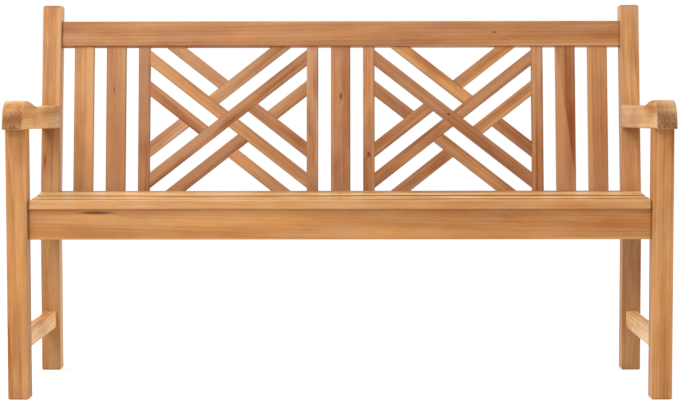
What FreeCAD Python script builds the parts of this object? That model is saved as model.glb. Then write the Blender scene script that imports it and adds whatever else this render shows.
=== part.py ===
import FreeCAD, Part
import math
import os

import Sketcher
from FreeCAD import Vector

# A teak garden bench with a Chinese lattice back, in millimetres.
# Front faces -Y, +X is to the right of someone who looks at the front, +Z is up.
# The origin is on the floor under the middle of the bench.
# The right half is modelled, and its pieces are mirrored for the left half.

driving = {
    # overall
    "overall_width": 1500,
    "overall_height": 913.5,
    "frame_depth": 446,  # front of the front legs to the front of the rear posts, at the floor
    # legs and rear posts
    "leg_width": 47,
    "leg_depth": 47,
    "post_depth": 47,
    "leg_round": 3,
    "foot_chamfer": 2.5,
    "post_top_chamfer": 4,
    "rake_angle": 8,
    "bend_below_seat": 41,  # the posts bend this far under the lowest point of the seat
    # arms
    "arm_underside": 610.7,
    "arm_nose": 41,  # overhang in front of the leg
    "arm_nose_lean": 15,
    "arm_nose_radius": 50,
    "arm_crest_rise": 64,
    "arm_crest_radius": 450,  # the roll of the crest into the scoop
    "arm_scoop_rise": 47.5,
    "arm_scoop_length": 195,  # crest to the lowest point of the scoop
    "arm_climb_angle": 0.85,  # the rise of the top from the scoop to the post
    "arm_rear_drop": 5,  # the underside falls this much from the leg to the post
    "arm_round": 3,
    # seat
    "seat_low_height": 436,  # top of the slats at the lowest point of the dish
    "seat_setback": 10,
    "seat_rear_gap": 4,
    "seat_slat_count": 6,
    "seat_gap": 10.8,
    "seat_slat_thickness": 20.5,
    "seat_slat_round": 3,
    "slat_end_inset": 4,
    "slat_leg_gap": 1.5,
    "dish_radius": 1751,
    "dish_shift": 10.5,  # the lowest point lies this far behind the middle of the seat
    # seat frame
    "apron_setback": 18,
    "apron_thickness": 25,
    "apron_height": 68,
    "side_rail_thickness": 28,
    "bearer_thickness": 28,
    "bearer_height": 30,  # at the lowest point of the dish
    "rail_round": 3,
    # stretchers
    "stretcher_bottom": 106.8,
    "stretcher_height": 41.7,
    "stretcher_thickness": 26.5,
    # back
    "back_rail_thickness": 28,
    "top_rail_height": 64.2,
    "top_rail_drop": 38.3,  # below the front edge of the post tops, along the rake
    "lower_rail_height": 70,
    "lower_rail_top": 55.6,  # above the bend, along the rake
    "back_slat_width": 49,
    "back_slat_thickness": 18,
    "back_gap": 32,
    "back_round": 2.5,
    "stile_width": 29,
    # lattice
    "strip_width": 30,
    "strip_thickness": 16,
    "strip_round": 1.5,
    "lattice_corner": 27.5,  # corner of the opening to the line of a main diagonal
    "tongue_width": 16,
    "tongue_thickness": 6,
    "tongue_length": 8,
    # joints
    "tenon_thickness": 10,
    "tenon_length": 30,
    "tenon_shoulder": 5,
    "tenon_spacing": 5,  # between two tenons that pass in one leg
    "rail_tenon_shoulder": 12,
    "stub_thickness": 9,
    "stub_length": 14,
    "bearer_stub_length": 9,
    "leg_tenon_size": 26,
    "leg_tenon_length": 36,
    "arm_tenon_width": 16,
    "arm_tenon_shoulder": 12,
    "arm_tenon_length": 24,
    "fit": 0.2,
    # pegs, screws and plugs
    "peg_diameter": 8,
    "peg_length": 38,
    "screw_shank_diameter": 4.5,
    "screw_hole_diameter": 5,
    "screw_head_diameter": 9,
    "screw_head_height": 3.5,
    "screw_bite": 20,
    "plug_diameter": 10,
    "plug_bore_depth": 10,
    "front_screw_inset": 53,  # from the legs to the end screws of the front slat
}

derived = {
    "half_width": "sizes.overall_width / 2",
    "leg_inner": "half_width - sizes.leg_width",
    "leg_middle": "half_width - sizes.leg_width / 2",
    "bend_height": "sizes.seat_low_height - sizes.bend_below_seat",
    "rake_length": "(sizes.overall_height - bend_height) / cos(sizes.rake_angle)",
    "rake_run": "rake_length * sin(sizes.rake_angle)",
    "post_reach": "sizes.post_depth / cos(sizes.rake_angle)",
    "overall_depth": "sizes.arm_nose + sizes.frame_depth + rake_run + post_reach",
    "leg_front": "sizes.arm_nose - overall_depth / 2",
    "post_front": "leg_front + sizes.frame_depth",
    # the dish: an arc about a line high above the seat, which the bearers follow
    "seat_run": "sizes.frame_depth - sizes.seat_setback - sizes.seat_rear_gap",
    "slat_pitch": "(seat_run + sizes.seat_gap) / sizes.seat_slat_count",
    "slat_width": "slat_pitch - sizes.seat_gap",
    "slat_step": "slat_pitch / sizes.dish_radius * 180 / pi",
    "dish_low": "sizes.seat_setback + seat_run / 2 + sizes.dish_shift",
    "bearer_low": "sizes.seat_low_height - sizes.seat_slat_thickness",
    "dish_centre": "bearer_low + sizes.dish_radius",
    "slat_flat": "slat_width / 2 - sizes.seat_slat_round",
    "slat_reach": "sqrt(sizes.dish_radius ^ 2 - slat_flat ^ 2)",
    "front_slat_middle": "sizes.seat_setback + slat_width / 2",
    "front_slat_angle": "asin((front_slat_middle - dish_low) / sizes.dish_radius) / 1 deg",
    "front_slat_seat": "dish_centre - slat_reach * cos(front_slat_angle)",
    # heights on the sloping top of the apron, which carries the front slat
    "apron_back": "sizes.apron_setback + sizes.apron_thickness",
    "apron_top_front": "front_slat_seat + (sizes.apron_setback - front_slat_middle) * tan(front_slat_angle)",
    "apron_top_back": "front_slat_seat + (apron_back - front_slat_middle) * tan(front_slat_angle)",
    "rail_bottom": "apron_top_front - sizes.apron_height",
    "rail_middle": "(rail_bottom + apron_top_back) / 2",
    "side_tenon_low": "rail_bottom + sizes.tenon_shoulder",
    "side_tenon_high": "rail_middle - sizes.tenon_spacing / 2",
    "apron_tenon_low": "rail_middle + sizes.tenon_spacing / 2",
    "apron_tenon_high": "apron_top_back - sizes.tenon_shoulder",
    "bearer_bottom": "bearer_low - sizes.bearer_height",
    "stretcher_middle": "sizes.stretcher_bottom + sizes.stretcher_height / 2",
    # the back, measured up the rake from the bend and back from the front of the posts
    "back_middle": "sizes.post_depth / 2",
    "back_rail_front": "back_middle - sizes.back_rail_thickness / 2",
    "top_rail_bottom": "rake_length - sizes.top_rail_drop - sizes.top_rail_height",
    "top_rail_middle": "top_rail_bottom + sizes.top_rail_height / 2",
    "lower_rail_middle": "sizes.lower_rail_top - sizes.lower_rail_height / 2",
    "top_tenon_low": "top_rail_bottom + sizes.rail_tenon_shoulder",
    "top_tenon_high": "top_rail_bottom + sizes.top_rail_height - sizes.rail_tenon_shoulder",
    # the lower rail's tenon passes over the side rail's in the post
    "tenon_back": "back_middle + sizes.tenon_thickness / 2",
    "side_tenon_clear": "side_tenon_high + sizes.tenon_spacing - bend_height",
    "lower_tenon_low": "(side_tenon_clear + tenon_back * sin(sizes.rake_angle)) / cos(sizes.rake_angle)",
    "lower_tenon_high": "sizes.lower_rail_top - sizes.rail_tenon_shoulder",
    "opening_height": "top_rail_bottom - sizes.lower_rail_top",
    "opening_middle": "sizes.lower_rail_top + opening_height / 2",
    # each half has half the centre slat, two more slats, four gaps, two stiles and the lattice opening
    "half_slats": "sizes.back_slat_width / 2 + 2 * sizes.back_slat_width",
    "opening_width": "leg_inner - half_slats - 4 * sizes.back_gap - 2 * sizes.stile_width",
    "inner_stile": "sizes.back_slat_width / 2 + sizes.back_gap + sizes.stile_width / 2",
    "panel_middle": "inner_stile + sizes.stile_width / 2 + opening_width / 2",
    "outer_stile": "panel_middle + opening_width / 2 + sizes.stile_width / 2",
    "inner_slat": "outer_stile + sizes.stile_width / 2 + sizes.back_gap + sizes.back_slat_width / 2",
    "outer_slat": "inner_slat + sizes.back_slat_width + sizes.back_gap",
    "diagonal_rise": "opening_height - 2 * sizes.lattice_corner",
    "lattice_angle": "atan(diagonal_rise / opening_width) / 1 deg",
    # the arm's outline, from the tip of its nose
    "arm_turn": "90 - sizes.arm_nose_lean",
    "nose_straight_rise": "sizes.arm_crest_rise - sizes.arm_nose_radius * (1 - cos(arm_turn))",
    "nose_straight_run": "nose_straight_rise * tan(sizes.arm_nose_lean)",
    "arm_crest": "nose_straight_run + sizes.arm_nose_radius * sin(arm_turn)",
    # behind the crest the top rolls down, swings into the scoop and climbs gently to the post
    "scoop_drop": "sizes.arm_crest_rise - sizes.arm_scoop_rise",
    "scoop_turn": "2 * atan(scoop_drop / sizes.arm_scoop_length) / 1 deg",
    "scoop_radius": "sizes.arm_scoop_length / sin(scoop_turn) - sizes.arm_crest_radius",
    "arm_swing": "arm_crest + sizes.arm_crest_radius * sin(scoop_turn)",
    "arm_swing_rise": "sizes.arm_crest_rise - sizes.arm_crest_radius * (1 - cos(scoop_turn))",
    "arm_low": "arm_crest + sizes.arm_scoop_length",
    "arm_leg_back": "sizes.arm_nose + sizes.leg_depth",
    "arm_post_lean": "(sizes.arm_underside - bend_height) * tan(sizes.rake_angle)",
    "arm_post": "sizes.arm_nose + sizes.frame_depth + arm_post_lean",
    "arm_scoop_end": "arm_low + scoop_radius * sin(sizes.arm_climb_angle)",
    "arm_scoop_end_rise": "sizes.arm_scoop_rise + scoop_radius * (1 - cos(sizes.arm_climb_angle))",
    "climb_slope": "tan(sizes.arm_climb_angle)",
    "climb_start": "arm_scoop_end_rise - arm_scoop_end * climb_slope",
    "rake_slope": "tan(sizes.rake_angle)",
    "arm_rear_top": "(arm_post + climb_start * rake_slope) / (1 - climb_slope * rake_slope)",
    "arm_rear_rise": "climb_start + arm_rear_top * climb_slope",
    "arm_rear_bottom": "arm_post - sizes.arm_rear_drop * tan(sizes.rake_angle)",
    "arm_tenon_low": "sizes.arm_tenon_shoulder - sizes.arm_rear_drop",
    "arm_tenon_high": "arm_rear_rise - sizes.arm_tenon_shoulder",
    "arm_tenon_end": "arm_post + sizes.arm_tenon_length",
    "arm_tenon_middle": "(arm_tenon_low + arm_tenon_high) / 2",
    "front_screw_end": "leg_inner - sizes.front_screw_inset",
    "bore_diameter": "sizes.plug_diameter + sizes.fit",
    "peg_hole_diameter": "sizes.peg_diameter + sizes.fit",
}

doc = FreeCAD.newDocument("teak_bench")
sizes = doc.addObject("Spreadsheet::Sheet", "sizes")
layout = doc.addObject("Spreadsheet::Sheet", "layout")
pieces = {}


def fill_sheet(sheet, rows):
    for row, (alias, content) in enumerate(rows.items(), start=1):
        sheet.set(f"A{row}", alias)
        sheet.set(f"B{row}", content)
        sheet.setAlias(f"B{row}", alias)


fill_sheet(sizes, {alias: str(value) for alias, value in driving.items()})
doc.recompute()
fill_sheet(layout, {alias: "=" + formula for alias, formula in derived.items()})
doc.recompute()


def number(formula):
    value = sizes.evalExpression(str(formula))
    return float(getattr(value, "Value", value))


def bind(item, formulas):
    for name, formula in formulas.items():
        item.setExpression(name, str(formula))


def spot(x, y, z, turn="rotation(vector(0; 0; 1); 0)"):
    return f"placement(vector({x}; {y}; {z}); {turn})"


def frame(name, formula):
    item = doc.addObject("App::Placement", name)
    item.setExpression("Placement", formula)
    doc.recompute()
    return f"{name}.Placement * "


# Sketches

def new_sketch(body, name, role):
    sketch = body.newObject("Sketcher::SketchObject", name)
    plane = next(item for item in body.Origin.OriginFeatures if item.Role == role)
    sketch.AttachmentSupport = [(plane, "")]
    sketch.MapMode = "FlatFace"
    return sketch


def dimension(sketch, kind, *references, formula):
    # A length bound to a formula, drawn at the size that the formula gives now
    index = sketch.addConstraint(Sketcher.Constraint(kind, *references, number(formula)))
    sketch.setExpression(f"Constraints[{index}]", str(formula))


def pin_point(sketch, line, end, across, up):
    # Hold one end of a line at a place from the sketch's origin
    for kind, axis, formula in (("DistanceX", -2, across), ("DistanceY", -1, up)):
        if str(formula) == "0":
            sketch.addConstraint(Sketcher.Constraint("PointOnObject", line, end, axis))
        else:
            dimension(sketch, kind, -1, 1, line, end, formula=formula)


def arc_between(start, end, radius):
    # A positive radius bows to the left of the way from start to end
    chord = end - start
    half = chord.Length / 2
    left = Vector(-chord.y, chord.x, 0).normalize()
    sag = abs(radius) - math.sqrt(radius ** 2 - half ** 2)
    crown = (start + end) / 2 + left * math.copysign(sag, radius)
    return Part.ArcOfCircle(start, crown, end)


def outline(body, name, role, points, radii=None):
    # A closed outline of lines through the points, with arcs where radii names the stretch.
    # A sketch counts an arc's ends anticlockwise, so one that bows to the left starts at its second end.
    radii = radii or {}
    sketch = new_sketch(body, name, role)
    corners = [Vector(number(across), number(up), 0) for across, up in points]
    starts = {}
    for index, start in enumerate(corners):
        end = corners[(index + 1) % len(corners)]
        if index in radii:
            side, formula = radii[index]
            sketch.addGeometry(arc_between(start, end, side * number(formula)))
            starts[index] = 2 if side > 0 else 1
            dimension(sketch, "Radius", index, formula=formula)
        else:
            sketch.addGeometry(Part.LineSegment(start, end))
            starts[index] = 1
    for index, (across, up) in enumerate(points):
        before = index - 1 if index else len(points) - 1
        last = 3 - starts[before]
        sketch.addConstraint(Sketcher.Constraint("Coincident", before, last, index, starts[index]))
        pin_point(sketch, index, starts[index], across, up)
    return sketch


def rectangle(body, name, role, wide, high):
    # A rectangle about the sketch's origin
    sketch = new_sketch(body, name, role)
    x, y = number(wide) / 2, number(high) / 2
    corners = [Vector(-x, -y, 0), Vector(x, -y, 0), Vector(x, y, 0), Vector(-x, y, 0)]
    for index in range(4):
        sketch.addGeometry(Part.LineSegment(corners[index], corners[(index + 1) % 4]))
    for index in range(4):
        sketch.addConstraint(Sketcher.Constraint("Coincident", index, 2, (index + 1) % 4, 1))
        direction = "Vertical" if index % 2 else "Horizontal"
        sketch.addConstraint(Sketcher.Constraint(direction, index))
    sketch.addConstraint(Sketcher.Constraint("Symmetric", 0, 1, 1, 2, -1, 1))
    dimension(sketch, "DistanceX", 0, 1, 0, 2, formula=wide)
    dimension(sketch, "DistanceY", 1, 1, 1, 2, formula=high)
    return sketch


# Solids

def new_body(name, placement):
    body = doc.addObject("PartDesign::Body", name)
    body.setExpression("Placement", placement)
    return body


def pad(body, name, sketch, length, symmetric=True):
    feature = body.newObject("PartDesign::Pad", name)
    feature.Profile = sketch
    feature.SideType = "Symmetric" if symmetric else "One side"
    feature.setExpression("Length", str(length))
    doc.recompute()
    return feature


def edges_where(feature, test):
    # Names of the edges whose middle passes the test
    shape = feature.Shape
    found = []
    for index, edge in enumerate(shape.Edges, start=1):
        if edge.Degenerated:
            continue
        halfway = (edge.FirstParameter + edge.LastParameter) / 2
        if test(edge.valueAt(halfway), edge.tangentAt(halfway)):
            found.append(f"Edge{index}")
    return found


def ease(body, name, feature, test, size, kind="PartDesign::Fillet"):
    eased = body.newObject(kind, name)
    eased.Base = (feature, edges_where(feature, test))
    eased.setExpression("Radius" if kind.endswith("Fillet") else "Size", size)
    doc.recompute()
    return eased


def near(value, formula):
    tolerance = 0.01
    return abs(value - number(formula)) < tolerance


def runs(tangent, axis):
    # True for an edge that runs along an axis, give or take some 25 degrees
    least_cosine = 0.9
    return abs(getattr(tangent, axis)) > least_cosine


def stick(name, role, wide, high, corner, length, placement, tenon=None, symmetric=True):
    # A bar with eased long edges. A tenon bar (wide, high, length) runs through it and out of both ends.
    along = {"YZ_Plane": "x", "XZ_Plane": "y", "XY_Plane": "z"}[role]
    body = new_body(name, placement)
    bar = pad(body, name + "_bar", rectangle(body, name + "_section", role, wide, high), length, symmetric)
    ease(body, name + "_edges", bar, lambda middle, tangent: runs(tangent, along), corner)
    if tenon:
        section = rectangle(body, name + "_tenon_section", role, tenon[0], tenon[1])
        pad(body, name + "_tenon", section, tenon[2])
    return body


def block(name, corner, size, place=""):
    box = doc.addObject("Part::Box", name)
    bind(box, dict(zip(("Length", "Width", "Height"), size)))
    box.setExpression("Placement", place + spot(*corner))
    return box


turns = {
    "x": "rotation(vector(0; 1; 0); 90)",
    "-x": "rotation(vector(0; 1; 0); -90)",
    "-y": "rotation(vector(1; 0; 0); 90)",
    "z": "rotation(vector(0; 0; 1); 0)",
}


def rod(name, start, heading, diameter, length, place=""):
    cylinder = doc.addObject("Part::Cylinder", name)
    bind(cylinder, {"Radius": f"({diameter}) / 2", "Height": length})
    cylinder.setExpression("Placement", place + spot(*start, turns[heading]))
    return cylinder


def boolean(kind, name, base, tool):
    item = doc.addObject("Part::" + kind, name)
    item.Base = base
    item.Tool = tool
    item.Refine = True
    return item


def merge(name, items):
    if len(items) == 1:
        return items[0]
    item = doc.addObject("Part::MultiFuse", name)
    item.Shapes = items
    return item


def mirror(name, source):
    item = doc.addObject("Part::Mirroring", name)
    item.Source = source
    item.Normal = Vector(1, 0, 0)
    return item


def finish(label, item, cuts=()):
    # Take the mortises and holes out of a piece and give it its name
    if cuts:
        item = boolean("Cut", label + "_cut", item, merge(label + "_cuts", list(cuts)))
    item.Label = label
    pieces[label] = item
    return item


def finish_pair(name, item, cuts=()):
    right = finish(name + "_right", item, cuts)
    left = mirror(name + "_mirrored", right)
    finish(name + "_left", left)


def both_sides(name, items):
    right = merge(name + "_right_tools", items)
    return [right, mirror(name + "_left_tools", right)]


# Frames that several pieces share

back = frame("back_plane", spot(0, "layout.post_front", "layout.bend_height",
                                "rotation(vector(1; 0; 0); -sizes.rake_angle)"))
panel_spot = spot("layout.panel_middle", "layout.back_middle", "layout.opening_middle")
panel = frame("panel_plane", back + panel_spot)
slat_count = round(number("sizes.seat_slat_count"))
slat_spots = []
for order in range(slat_count):
    lean = f"(layout.front_slat_angle + {order} * layout.slat_step)"
    slat_spots.append(frame(f"slat_plane_{order + 1}", spot(
        0,
        f"layout.leg_front + layout.dish_low + layout.slat_reach * sin{lean}",
        f"layout.dish_centre - layout.slat_reach * cos{lean}",
        f"rotation(vector(1; 0; 0); {lean})")))


# Pegs, and the holes that they fill

pegs = []
peg_holes = {}


def peg(name, start, heading, place=""):
    length = "sizes.peg_length"
    pegs.append(rod("peg_" + name, start, heading, "sizes.peg_diameter", length, place))
    peg_holes[name] = rod("hole_" + name, start, heading, "layout.peg_hole_diameter", length, place)


leg_peg_line = "layout.leg_front + sizes.leg_depth - sizes.tenon_length / 2"
post_peg_line = "layout.post_front + sizes.tenon_length / 2"
side_peg_height = "(layout.side_tenon_low + layout.side_tenon_high) / 2"
peg("side_front", ("layout.half_width", leg_peg_line, side_peg_height), "-x")
peg("side_rear", ("layout.half_width", post_peg_line, side_peg_height), "-x")
peg("stretcher_front", ("layout.half_width", leg_peg_line, "layout.stretcher_middle"), "-x")
peg("stretcher_rear", ("layout.half_width", post_peg_line, "layout.stretcher_middle"), "-x")
peg("arm_front", ("layout.half_width", "layout.leg_front + sizes.leg_depth / 2",
                  "sizes.arm_underside + sizes.leg_tenon_length / 2"), "-x")
peg("arm_rear", ("layout.half_width",
                 "layout.leg_front - sizes.arm_nose + layout.arm_tenon_end - sizes.arm_tenon_length / 4",
                 "sizes.arm_underside + layout.arm_tenon_middle"), "-x")
rail_peg_line = "layout.leg_inner + sizes.tenon_length / 2"
for rail in ("top", "lower"):
    rail_peg_height = f"(layout.{rail}_tenon_low + layout.{rail}_tenon_high) / 2"
    peg(rail + "_rail", (rail_peg_line, "sizes.post_depth", rail_peg_height), "-y", back)


# Screws under teak plugs, and their holes, in each slat's own plane

screws = []
plugs = []
slat_bores = {}
pilot_holes = {}


def screw(slat, name, x, y):
    place = slat_spots[slat]
    seat = "(sizes.seat_slat_thickness - sizes.plug_bore_depth)"
    head_top = f"{seat} + sizes.screw_head_height"
    label = f"slat_{slat + 1}_{name}"
    head = rod("head_" + label, (x, y, seat), "z", "sizes.screw_head_diameter",
               "sizes.screw_head_height", place)
    shank = rod("shank_" + label, (x, y, "-sizes.screw_bite"), "z", "sizes.screw_shank_diameter",
                f"sizes.screw_bite + {seat}", place)
    screws.append(boolean("Fuse", "screw_" + label, head, shank))
    plugs.append(rod("plug_" + label, (x, y, head_top), "z", "sizes.plug_diameter",
                     "sizes.plug_bore_depth - sizes.screw_head_height", place))
    bore = rod("bore_" + label, (x, y, seat), "z", "layout.bore_diameter", "sizes.plug_bore_depth", place)
    clear = rod("clear_" + label, (x, y, 0), "z", "sizes.screw_hole_diameter", seat, place)
    slat_bores[slat, name] = boolean("Fuse", "step_" + label, bore, clear)
    pilot_holes[slat, name] = rod("pilot_" + label, (x, y, "-sizes.screw_bite"), "z",
                                  "sizes.screw_shank_diameter", "sizes.screw_bite", place)


apron_middle = "(sizes.apron_setback + sizes.apron_thickness / 2 - layout.front_slat_middle)"
front_screw_line = f"{apron_middle} / cos(layout.front_slat_angle)"
screw(0, "middle", 0, front_screw_line)
screw(0, "half", "layout.front_screw_end / 2", front_screw_line)
screw(0, "end", "layout.front_screw_end", front_screw_line)
for order in range(1, slat_count):
    screw(order, "middle", 0, 0)
    screw(order, "end", "layout.leg_middle", 0)


# Front legs

leg = new_body("front_leg", spot("layout.leg_middle", "layout.leg_front + sizes.leg_depth / 2", 0))
leg_bar = pad(leg, "leg_bar", rectangle(leg, "leg_section", "XY_Plane", "sizes.leg_width", "sizes.leg_depth"),
              "sizes.arm_underside", symmetric=False)
leg_eased = ease(leg, "leg_edges", leg_bar, lambda middle, tangent: runs(tangent, "z"), "sizes.leg_round")
ease(leg, "leg_foot", leg_eased, lambda middle, tangent: near(middle.z, 0), "sizes.foot_chamfer",
     "PartDesign::Chamfer")
leg_tenon_size = "sizes.leg_tenon_size"
leg_tenon_section = rectangle(leg, "leg_tenon_section", "XY_Plane", leg_tenon_size, leg_tenon_size)
pad(leg, "leg_tenon", leg_tenon_section, "sizes.arm_underside + sizes.leg_tenon_length", symmetric=False)
leg_tenon_hole = "sizes.leg_tenon_size + 2 * sizes.fit"
leg_socket = block(
    "leg_socket",
    (f"layout.leg_middle - ({leg_tenon_hole}) / 2",
     f"layout.leg_front + sizes.leg_depth / 2 - ({leg_tenon_hole}) / 2",
     "sizes.arm_underside"),
    (leg_tenon_hole, leg_tenon_hole, "sizes.leg_tenon_length + sizes.fit"))

# Rear posts: upright below the seat, leaning back above it, with level tops

post = new_body("rear_post", spot("layout.leg_middle", "layout.post_front", 0))
post_outline = outline(post, "post_outline", "YZ_Plane", [
    (0, 0),
    ("sizes.post_depth", 0),
    ("sizes.post_depth", "layout.bend_height - sizes.post_depth * tan(sizes.rake_angle / 2)"),
    ("layout.rake_run + layout.post_reach", "sizes.overall_height"),
    ("layout.rake_run", "sizes.overall_height"),
    (0, "layout.bend_height"),
])
post_bar = pad(post, "post_bar", post_outline, "sizes.leg_width")

post_topped = ease(post, "post_top", post_bar, lambda middle, tangent: near(middle.z, "sizes.overall_height"),
                   "sizes.post_top_chamfer", "PartDesign::Chamfer")
post_eased = ease(post, "post_edges", post_topped,
                  lambda middle, tangent: near(abs(middle.x), "sizes.leg_width / 2") and runs(tangent, "z"),
                  "sizes.leg_round")
ease(post, "post_foot", post_eased, lambda middle, tangent: near(middle.z, 0), "sizes.foot_chamfer",
     "PartDesign::Chamfer")

# Arms: a rolled nose, a crest, a scoop and a gentle climb to the post

arm = new_body("arm", spot("layout.leg_middle", "layout.leg_front - sizes.arm_nose", "sizes.arm_underside"))
arm_outline = outline(arm, "arm_outline", "YZ_Plane", [
    (0, 0),
    ("layout.arm_leg_back", 0),
    ("layout.arm_rear_bottom", "-sizes.arm_rear_drop"),
    ("layout.arm_rear_top", "layout.arm_rear_rise"),
    ("layout.arm_scoop_end", "layout.arm_scoop_end_rise"),
    ("layout.arm_swing", "layout.arm_swing_rise"),
    ("layout.arm_crest", "sizes.arm_crest_rise"),
    ("layout.nose_straight_run", "layout.nose_straight_rise"),
], {
    4: (1, "layout.scoop_radius"),
    5: (-1, "sizes.arm_crest_radius"),
    6: (-1, "sizes.arm_nose_radius"),
})
arm_bar = pad(arm, "arm_bar", arm_outline, "sizes.leg_width")


def arm_edges(middle, tangent):
    on_side = near(abs(middle.x), "sizes.leg_width / 2") and middle.y < number("layout.arm_rear_bottom")
    on_nose = runs(tangent, "x") and near(middle.y, 0)
    return on_side or on_nose


ease(arm, "arm_edges", arm_bar, arm_edges, "sizes.arm_round")
arm_tenon_outline = outline(arm, "arm_tenon_outline", "YZ_Plane", [
    ("layout.arm_low", "layout.arm_tenon_low"),
    ("layout.arm_tenon_end", "layout.arm_tenon_low"),
    ("layout.arm_tenon_end", "layout.arm_tenon_high"),
    ("layout.arm_low", "layout.arm_tenon_high"),
])
pad(arm, "arm_tenon", arm_tenon_outline, "sizes.arm_tenon_width")
arm_tenon_hole = "sizes.arm_tenon_width + 2 * sizes.fit"
arm_socket = block(
    "arm_socket",
    (f"layout.leg_middle - ({arm_tenon_hole}) / 2",
     "layout.leg_front - sizes.arm_nose + layout.arm_low",
     "sizes.arm_underside + layout.arm_tenon_low - sizes.fit"),
    (arm_tenon_hole,
     "layout.arm_tenon_end - layout.arm_low + sizes.fit",
     "layout.arm_tenon_high - layout.arm_tenon_low + 2 * sizes.fit"))

# Dished rails: the side rails and the centre bearer


def dish_height(distance):
    return f"layout.dish_centre - sqrt(sizes.dish_radius ^ 2 - ({distance} - layout.dish_low) ^ 2)"


side_rail = new_body("side_rail", spot("layout.leg_middle", "layout.leg_front", 0))
side_outline = outline(side_rail, "side_rail_outline", "YZ_Plane", [
    ("sizes.leg_depth", "layout.rail_bottom"),
    ("sizes.frame_depth", "layout.rail_bottom"),
    ("sizes.frame_depth", dish_height("sizes.frame_depth")),
    ("sizes.leg_depth", dish_height("sizes.leg_depth")),
], {2: (1, "sizes.dish_radius")})
side_bar = pad(side_rail, "side_rail_bar", side_outline, "sizes.side_rail_thickness")
lower_edges = lambda middle, tangent: runs(tangent, "y") and near(middle.z, "layout.rail_bottom")
ease(side_rail, "side_rail_edges", side_bar, lower_edges, "sizes.rail_round")
side_tenon_outline = outline(side_rail, "side_tenon_outline", "YZ_Plane", [
    ("sizes.leg_depth - sizes.tenon_length", "layout.side_tenon_low"),
    ("sizes.frame_depth + sizes.tenon_length", "layout.side_tenon_low"),
    ("sizes.frame_depth + sizes.tenon_length", "layout.side_tenon_high"),
    ("sizes.leg_depth - sizes.tenon_length", "layout.side_tenon_high"),
])
pad(side_rail, "side_tenon", side_tenon_outline, "sizes.tenon_thickness")
thick_socket = "sizes.tenon_thickness + 2 * sizes.fit"
long_socket = "sizes.frame_depth - sizes.leg_depth + 2 * (sizes.tenon_length + sizes.fit)"
socket_start = "layout.leg_front + sizes.leg_depth - sizes.tenon_length - sizes.fit"
side_socket = block(
    "side_socket",
    (f"layout.leg_middle - ({thick_socket}) / 2", socket_start, "layout.side_tenon_low - sizes.fit"),
    (thick_socket, long_socket, "layout.side_tenon_high - layout.side_tenon_low + 2 * sizes.fit"))

bearer = new_body("bearer", spot(0, "layout.leg_front", 0))


def lower_rail_face(height):
    # Distance from the legs' front to the leaning front face of the back's lower rail
    return (f"sizes.frame_depth + layout.back_rail_front / cos(sizes.rake_angle)"
            f" + ({height} - layout.bend_height) * tan(sizes.rake_angle)")


bearer_back_high = dish_height("sizes.frame_depth")
bearer_outline = outline(bearer, "bearer_outline", "YZ_Plane", [
    ("layout.apron_back", "layout.bearer_bottom"),
    (lower_rail_face("layout.bearer_bottom"), "layout.bearer_bottom"),
    (lower_rail_face(bearer_back_high), bearer_back_high),
    ("sizes.frame_depth", bearer_back_high),
    ("layout.apron_back", dish_height("layout.apron_back")),
], {3: (1, "sizes.dish_radius")})
bearer_bar = pad(bearer, "bearer_bar", bearer_outline, "sizes.bearer_thickness")
bearer_stub_low = "layout.bearer_bottom + sizes.tenon_shoulder"
bearer_stub_high = "layout.bearer_low - sizes.tenon_shoulder"
bearer_stub_back = f"{lower_rail_face(bearer_stub_low)} + sizes.bearer_stub_length"
bearer_stub_outline = outline(bearer, "bearer_stub_outline", "YZ_Plane", [
    ("layout.apron_back - sizes.bearer_stub_length", bearer_stub_low),
    (bearer_stub_back, bearer_stub_low),
    (bearer_stub_back, bearer_stub_high),
    ("layout.apron_back - sizes.bearer_stub_length", bearer_stub_high),
])
pad(bearer, "bearer_stub", bearer_stub_outline, "sizes.tenon_thickness")
bearer_socket = block(
    "bearer_socket",
    (f"-({thick_socket}) / 2",
     "layout.leg_front + layout.apron_back - sizes.bearer_stub_length - sizes.fit",
     f"{bearer_stub_low} - sizes.fit"),
    (thick_socket,
     f"{bearer_stub_back} - layout.apron_back + sizes.bearer_stub_length + 2 * sizes.fit",
     f"{bearer_stub_high} - ({bearer_stub_low}) + 2 * sizes.fit"))

# Apron, with a top that slopes to carry the front slat

apron = new_body("apron", spot(0, "layout.leg_front", 0))
apron_outline = outline(apron, "apron_outline", "YZ_Plane", [
    ("sizes.apron_setback", "layout.rail_bottom"),
    ("layout.apron_back", "layout.rail_bottom"),
    ("layout.apron_back", "layout.apron_top_back"),
    ("sizes.apron_setback", "layout.apron_top_front"),
])
apron_bar = pad(apron, "apron_bar", apron_outline, "2 * layout.leg_inner")
apron_low = lambda middle, tangent: runs(tangent, "x") and near(middle.z, "layout.rail_bottom")
ease(apron, "apron_edges", apron_bar, apron_low, "sizes.rail_round")
apron_tenon_front = "sizes.apron_setback + (sizes.apron_thickness - sizes.tenon_thickness) / 2"
apron_tenon_outline = outline(apron, "apron_tenon_outline", "YZ_Plane", [
    (apron_tenon_front, "layout.apron_tenon_low"),
    (f"{apron_tenon_front} + sizes.tenon_thickness", "layout.apron_tenon_low"),
    (f"{apron_tenon_front} + sizes.tenon_thickness", "layout.apron_tenon_high"),
    (apron_tenon_front, "layout.apron_tenon_high"),
])
pad(apron, "apron_tenon", apron_tenon_outline, "2 * (layout.leg_inner + sizes.tenon_length)")
apron_socket = block(
    "apron_socket",
    (0, f"layout.leg_front + {apron_tenon_front} - sizes.fit", "layout.apron_tenon_low - sizes.fit"),
    ("layout.leg_inner + sizes.tenon_length + sizes.fit", thick_socket,
     "layout.apron_tenon_high - layout.apron_tenon_low + 2 * sizes.fit"))

# Stretchers

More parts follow.
